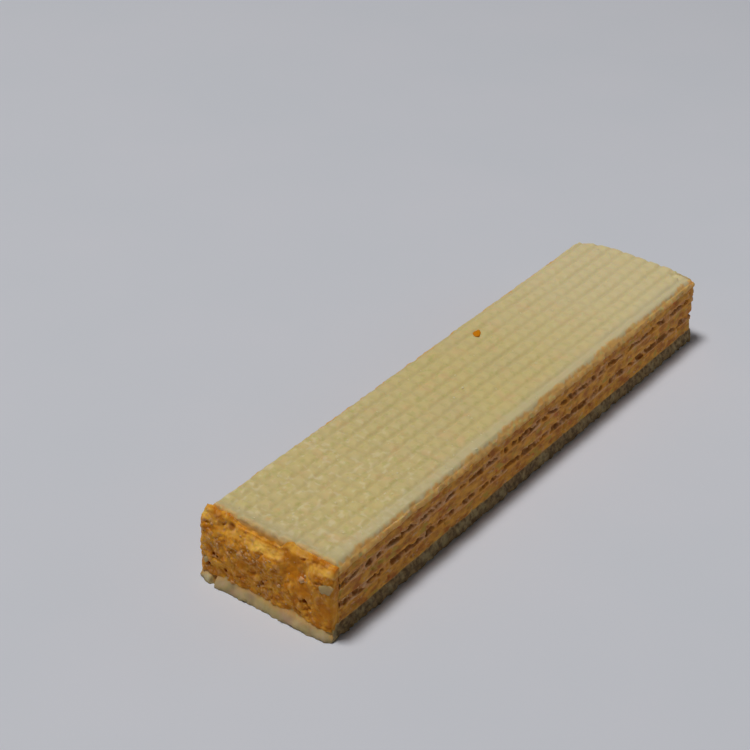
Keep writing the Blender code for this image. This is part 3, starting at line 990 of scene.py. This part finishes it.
def lumps(name, places, corners, material, marks):
    """One mesh of small broken lumps with so many corners. Each place: the middle, length, width and
    thickness, what way the flat side faces, and how far it is turned, in degrees."""
    ball = bmesh.new()
    bmesh.ops.create_icosphere(ball, subdivisions=3, radius=0.5)
    unit = np.array([vertex.co for vertex in ball.verts])
    faces = np.array([[vertex.index for vertex in face.verts] for face in ball.faces])
    ball.free()
    wedge = 2 * math.pi / corners
    around = np.arctan2(unit[:, Y], unit[:, X]) % wedge
    broken = np.cos(wedge / 2) / np.cos(around - wedge / 2)  # 1 at a corner, less between corners
    unit = unit * np.stack([broken, broken, np.ones_like(broken)], axis=1)
    points, triangles = [], []
    for number, (middle, size, facing, turn) in enumerate(places):
        dent = 1 + 0.35 * bumps(unit + 7 * number, 0.5, 91) + 0.15 * bumps(unit + 7 * number, 0.25, 92)
        flat = unit * dent[:, None] * np.array(size)
        upright = Vector(facing).to_track_quat("Z", "Y").to_matrix()
        turned = upright @ Matrix.Rotation(math.radians(turn), 3, "Z")
        points.append(flat @ np.array(turned).T + np.array(middle))
        triangles.append(faces + number * len(unit))
    mesh = bpy.data.meshes.new(name)
    mesh.from_pydata(np.concatenate(points), [], np.concatenate(triangles).tolist())
    mesh.shade_smooth()
    piece = in_scene(name, mesh)
    everywhere = {mark: np.full(len(mesh.vertices), value) for mark, value in marks.items()}
    settle(piece, np.concatenate(points), everywhere, material, None)


# %% Place them
FINE_ON_END, FINE_ON_TOP = 26, 90
draw = np.random.default_rng(12)


def fine_crumbs(count, lowest, highest):
    """So many fine crumbs between two corners: the two numbers of the place, length, width, turn."""
    return [(*draw.uniform(lowest, highest), *draw.uniform(0.12, 0.26, 2), draw.uniform(0, 180))
            for _ in range(count)]


# Larger crumbs on the end: place across, height, length, width, turn
END_CRUMBS = [
    (-1.9, 4.1, 0.6, 0.45, 40), (-4.9, 6.3, 0.95, 0.65, 50), (-5.3, 6.8, 0.5, 0.35, 0),
    (0.9, 2.6, 0.4, 0.3, 80), (0.1, 2.1, 0.4, 0.2, 10), (-0.4, 2.5, 0.35, 0.2, 100),
    (0.5, 2.9, 0.3, 0.18, 30), (3.6, 5.8, 0.35, 0.22, 30), (3.0, 6.5, 0.3, 0.22, 50),
    (2.4, 5.9, 0.4, 0.25, 20), (2.2, 6.9, 0.3, 0.2, 60), (1.4, 5.9, 0.35, 0.3, 0),
    (7.6, 7.8, 0.35, 0.3, 30), (6.6, 5.7, 0.35, 0.3, 70), (7.5, 5.4, 0.3, 0.2, 40),
    (-0.7, 6.9, 0.35, 0.25, 10), (-1.0, 6.1, 0.4, 0.25, 45), (-0.9, 4.8, 0.3, 0.2, 45),
    (8.2, 1.9, 0.35, 0.25, 20), (5.2, 1.6, 0.3, 0.2, 10), (4.4, 1.55, 0.35, 0.2, 0),
    (0.9, 1.5, 0.3, 0.2, 20), (-2.9, 2.1, 0.35, 0.2, 60), (8.6, 4.6, 0.3, 0.25, 0)]
END_CRUMBS += fine_crumbs(FINE_ON_END, (-6.5, 1.9), (8.6, 8.2))
end_places = [
    (on_end(y, z), (1.15 * along, 1.15 * across, 0.5 * across), END_FACE, turn)
    for y, z, along, across, turn in END_CRUMBS]
lumps("wafer_crumbs_on_end", end_places, 5, foam, {"skin": 0.6, "smear": 0.15})

stained_flakes = [
    (on_end(-8.25, 6.8) + [0.07, 0, 0], (2.1, 1.6, 0.2), (-1, -0.12, 0.1), 25),
    (on_end(8.25, 2.9) + [0.02, 0, 0], (1.2, 0.9, 0.24), (-1, 0.3, 0.1), 60)]
# the flakes are darkened a little with painted shade
lumps("stained_flakes_on_end", stained_flakes, 5, wafer, {"worn": 0.6, "smear": 0.25, "painted_shade": 0.3})

# Larger crumbs on the top: place along, place across, length, width, turn
TOP_CRUMBS = [
    (-28.2, -3.4, 0.4, 0.25, 20), (-26.1, -5.4, 0.35, 0.25, 60), (-24.7, -5.2, 0.45, 0.25, 0),
    (-8.7, -7.1, 0.4, 0.25, 45), (-13.9, -7.0, 0.3, 0.25, 10), (-2.0, 0.0, 0.6, 0.3, 30),
    (-4.2, -0.2, 0.4, 0.25, 80), (-34.0, 0.2, 0.3, 0.25, 0), (-20.8, -4.1, 0.5, 0.2, 10),
    (-32.0, -7.6, 0.3, 0.25, 50), (-16.2, -8.3, 0.35, 0.25, 20), (-11.4, -8.2, 0.4, 0.25, 0)]
TOP_CRUMBS += fine_crumbs(FINE_ON_TOP, (-37, -8), (38, 8.4))
top_places = [
    (on_top(x, y) + [0, 0, 0.01], (along, across, 0.5 * across), TOP_FACE, turn)
    for x, y, along, across, turn in TOP_CRUMBS]
lumps("wafer_crumbs_on_top", top_places, 5, wafer, {"mealy": 1.0})
speck = [(on_top(9.4, 5.7) - [0, 0, 0.06], (1.9, 1.2, 0.34), TOP_FACE, 20)]  # pressed in over the grooves
lumps("cream_speck_on_top", speck, 9, torn, {"fatty": 1.0})

# %% [markdown]
# ## Floor, light and camera
#
# The photo's light is soft and comes from almost straight above, leaning a little to the back left:
# the shadow on the floor is short and soft. One square lamp does that, and a weak sky fills in. A
# weak lamp low at the far end brightens the far part of the long side, as in the photo.
# The camera stands where the photo's camera stood, worked out from the biscuit's corners.

# %% Stage
FLOOR_HALF = 3.0  # metres
bm = bmesh.new()
bmesh.ops.create_grid(bm, x_segments=8, y_segments=8, size=FLOOR_HALF)
floor_mesh = bpy.data.meshes.new("floor")
bm.to_mesh(floor_mesh)
bm.free()
floor = in_scene("floor", floor_mesh)
floor_material, tree, shader, where, _ = new_material("matt_card_pale", 0.75, 1.45, 0.5, 0.1)
shader.inputs["Subsurface Weight"].default_value = 0.0
tone = add(tree, "ShaderNodeMix", {
    "Factor": spots(tree, where, 25.0, 0.35, 0.65), MIX_A: paint("#dcdfe7"), MIX_B: paint("#dee0e8")},
    data_type="RGBA")
tree.links.new(tone.outputs[MIX_OUT], shader.inputs["Base Color"])
floor_mesh.materials.append(floor_material)

# %% Light
LAMP_DISTANCE = 1.0  # metres
LAMP_SIZE, LAMP_POWER = 0.21, 6.2  # metres, watts
LAMP_LEAN = math.radians(13.8)
LAMP_HEADING = math.radians(131)
FILL_AT = (0.10, -0.10, 0.05)  # metres
FILL_SIZE, FILL_POWER = 0.1, 0.0145
SKY_STRENGTH = 0.045


def square_lamp(name, size, power, place):
    """A square lamp at that place, turned towards the biscuit."""
    data = bpy.data.lights.new(name, "AREA")
    data.shape = "SQUARE"
    data.size = size
    data.energy = power
    lamp = in_scene(name, data)
    lamp.location = place
    lamp.rotation_euler = place.to_track_quat("Z", "Y").to_euler()
    return data


lean = math.sin(LAMP_LEAN)
towards_lamp = Vector((
    lean * math.cos(LAMP_HEADING), lean * math.sin(LAMP_HEADING), math.cos(LAMP_LEAN)))
lamp_data = square_lamp("soft_lamp", LAMP_SIZE, LAMP_POWER, LAMP_DISTANCE * towards_lamp)
lamp_data.color = (1.0, 0.99, 0.975)
square_lamp("weak_fill", FILL_SIZE, FILL_POWER, Vector(FILL_AT))

world = bpy.data.worlds.new("weak_sky")
world.use_nodes = True
sky = world.node_tree.nodes["Background"]
sky.inputs["Color"].default_value = (0.93, 0.96, 1.0, 1.0)
sky.inputs["Strength"].default_value = SKY_STRENGTH
bpy.context.scene.world = world
bpy.context.scene.view_settings.view_transform = "Standard"

# %% Camera
CAMERA_AT = Vector((-163.19, -102.87, 133.90)) * MM
LOOK = Vector((0.6831, 0.4906, -0.5411))
CAMERA_UP = Vector((0.4229, 0.3384, 0.8406))
SENSOR, LENS = 36.0, 92.04  # millimetres
camera_data = bpy.data.cameras.new("camera")
camera_data.sensor_width = SENSOR
camera_data.lens = LENS
camera_data.clip_start = 0.01
camera_data.clip_end = 20.0
camera = in_scene("camera", camera_data)
right = LOOK.cross(CAMERA_UP).normalized()
up = right.cross(LOOK).normalized()
turn = Matrix((right, up, -LOOK.normalized())).transposed()
camera.matrix_world = Matrix.Translation(CAMERA_AT) @ turn.to_4x4()
bpy.context.scene.camera = camera
